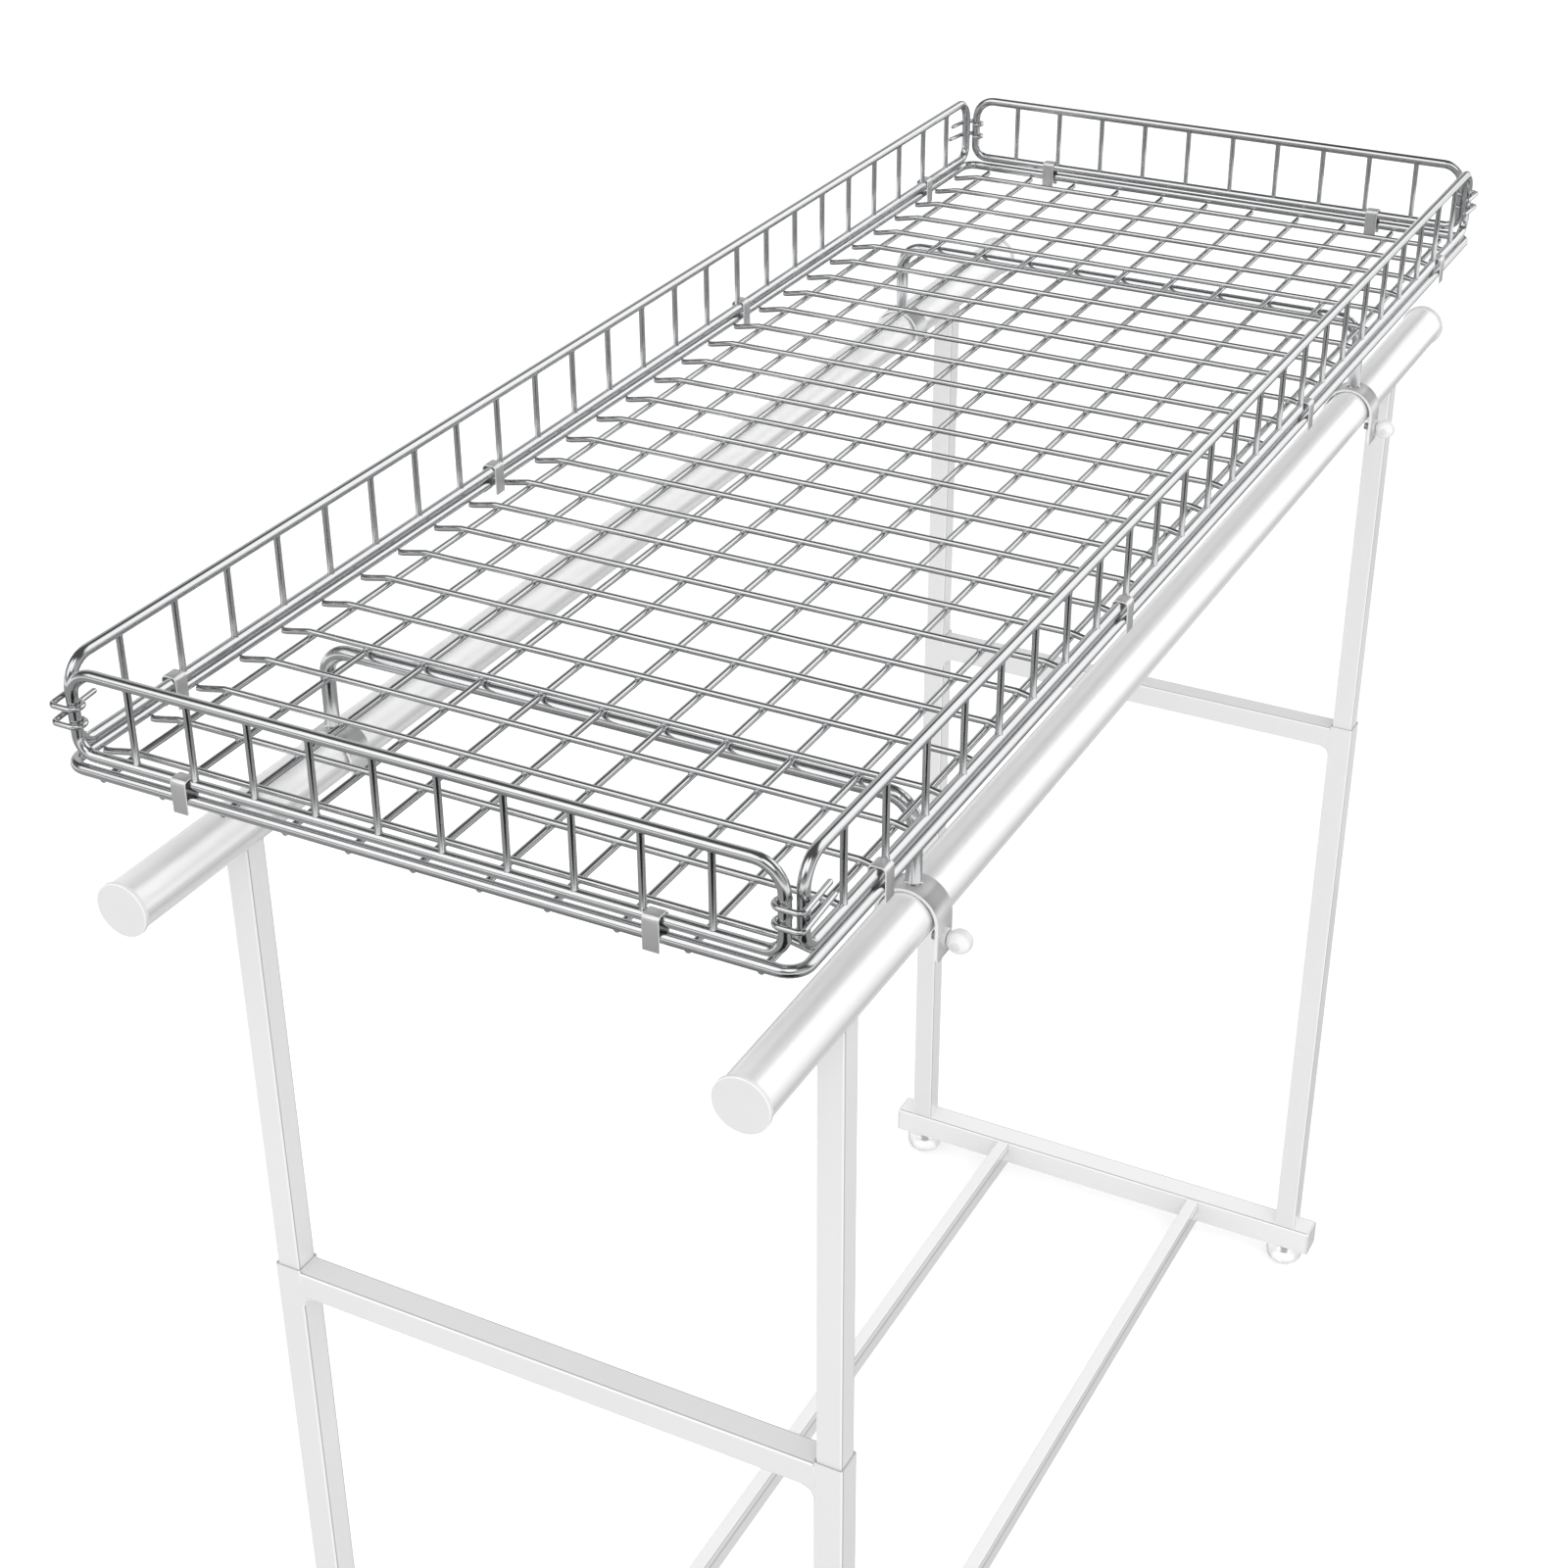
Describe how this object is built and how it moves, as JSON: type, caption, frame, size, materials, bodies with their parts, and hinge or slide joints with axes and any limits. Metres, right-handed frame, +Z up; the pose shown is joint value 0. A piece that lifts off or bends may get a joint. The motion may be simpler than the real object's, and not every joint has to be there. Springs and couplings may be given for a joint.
{
  "type": "clothes rack",
  "caption": "Free-standing double-rail clothes rack with a chrome wire basket clamped on top of its rails.",
  "frame": {"origin": "on the floor, in the middle of the four feet", "axes": "+Y along the rails, away from the front end; +Z up; +X across the rack, to the right"},
  "size_m": [0.4718, 1.238, 1.099],
  "materials": {
    "frame_paint": "glossy white powder coat",
    "rail_paint": "glossy silver-white pearl coat",
    "chrome_wire": "bright chrome plating",
    "clip_steel": "satin plated sheet",
    "saddle_steel": "satin plated strip",
    "zinc_steel": "bright zinc plating",
    "foot_plastic": "milky white moulding",
    "plug_plastic": "white moulding",
    "cap_plastic": "silver-grey moulding",
    "knob_plastic": "pale ball moulding",
    "nylon": "plain moulding"
  },
  "bodies": {
    "frame": {"base_bar_front": "frame_paint", "base_bar_back": "frame_paint", "base_bar_end_plugs": "plug_plastic", "foot_weld_nuts": "zinc_steel", "lower_post_front_left": "frame_paint", "lower_post_front_right": "frame_paint", "lower_post_back_left": "frame_paint", "lower_post_back_right": "frame_paint", "crossbar_front": "frame_paint", "crossbar_back": "frame_paint", "post_stop_plugs": "nylon", "upper_post_front_left": "frame_paint", "upper_post_front_right": "frame_paint", "upper_post_back_left": "frame_paint", "upper_post_back_right": "frame_paint", "stretcher_left": "frame_paint", "stretcher_right": "frame_paint", "stretcher_inserts": "zinc_steel", "stretcher_bolts": "zinc_steel", "rail_left": "rail_paint", "rail_right": "rail_paint", "rail_stubs": "zinc_steel", "rail_end_caps_left": "cap_plastic", "rail_end_caps_right": "cap_plastic"},
    "basket": {"basket_panel_front": "chrome_wire", "basket_panel_back": "chrome_wire", "basket_panel_left": "chrome_wire", "basket_panel_right": "chrome_wire", "basket_floor_grid": "chrome_wire", "corner_hooks_front": "chrome_wire", "corner_hooks_back": "chrome_wire", "panel_clips_front": "clip_steel", "panel_clips_back": "clip_steel", "panel_clips_left": "clip_steel", "panel_clips_right": "clip_steel", "support_rod_front": "chrome_wire", "support_rod_back": "chrome_wire", "saddle_front_left": "saddle_steel", "saddle_front_right": "saddle_steel", "saddle_back_left": "saddle_steel", "saddle_back_right": "saddle_steel", "saddle_screw_bosses": "saddle_steel"},
    "foot_front_left": {"foot_pad_front_left": "foot_plastic", "foot_stud_front_left": "zinc_steel"},
    "foot_front_right": {"foot_pad_front_right": "foot_plastic", "foot_stud_front_right": "zinc_steel"},
    "foot_back_left": {"foot_pad_back_left": "foot_plastic", "foot_stud_back_left": "zinc_steel"},
    "foot_back_right": {"foot_pad_back_right": "foot_plastic", "foot_stud_back_right": "zinc_steel"},
    "screw_front_left": {"screw_shank_front_left": "zinc_steel", "screw_knob_front_left": "knob_plastic"},
    "screw_front_right": {"screw_shank_front_right": "zinc_steel", "screw_knob_front_right": "knob_plastic"},
    "screw_back_left": {"screw_shank_back_left": "zinc_steel", "screw_knob_back_left": "knob_plastic"},
    "screw_back_right": {"screw_shank_back_right": "zinc_steel", "screw_knob_back_right": "knob_plastic"}
  },
  "joints": [
    {"name": "basket_slide", "type": "slide", "parent": "frame", "child": "basket", "axis": [0, 1, 0], "range_m": [-0.19, 0.19]},
    {"name": "foot_level_front_left", "type": "slide", "parent": "frame", "child": "foot_front_left", "axis": [0, 0, -1], "range_m": [0, 0.012]},
    {"name": "foot_level_front_right", "type": "slide", "parent": "frame", "child": "foot_front_right", "axis": [0, 0, -1], "range_m": [0, 0.012]},
    {"name": "foot_level_back_left", "type": "slide", "parent": "frame", "child": "foot_back_left", "axis": [0, 0, -1], "range_m": [0, 0.012]},
    {"name": "foot_level_back_right", "type": "slide", "parent": "frame", "child": "foot_back_right", "axis": [0, 0, -1], "range_m": [0, 0.012]},
    {"name": "screw_travel_front_left", "type": "slide", "parent": "basket", "child": "screw_front_left", "axis": [-1, 0, 0], "range_m": [0, 0.006]},
    {"name": "screw_travel_front_right", "type": "slide", "parent": "basket", "child": "screw_front_right", "axis": [1, 0, 0], "range_m": [0, 0.006]},
    {"name": "screw_travel_back_left", "type": "slide", "parent": "basket", "child": "screw_back_left", "axis": [-1, 0, 0], "range_m": [0, 0.006]},
    {"name": "screw_travel_back_right", "type": "slide", "parent": "basket", "child": "screw_back_right", "axis": [1, 0, 0], "range_m": [0, 0.006]}
  ]
}
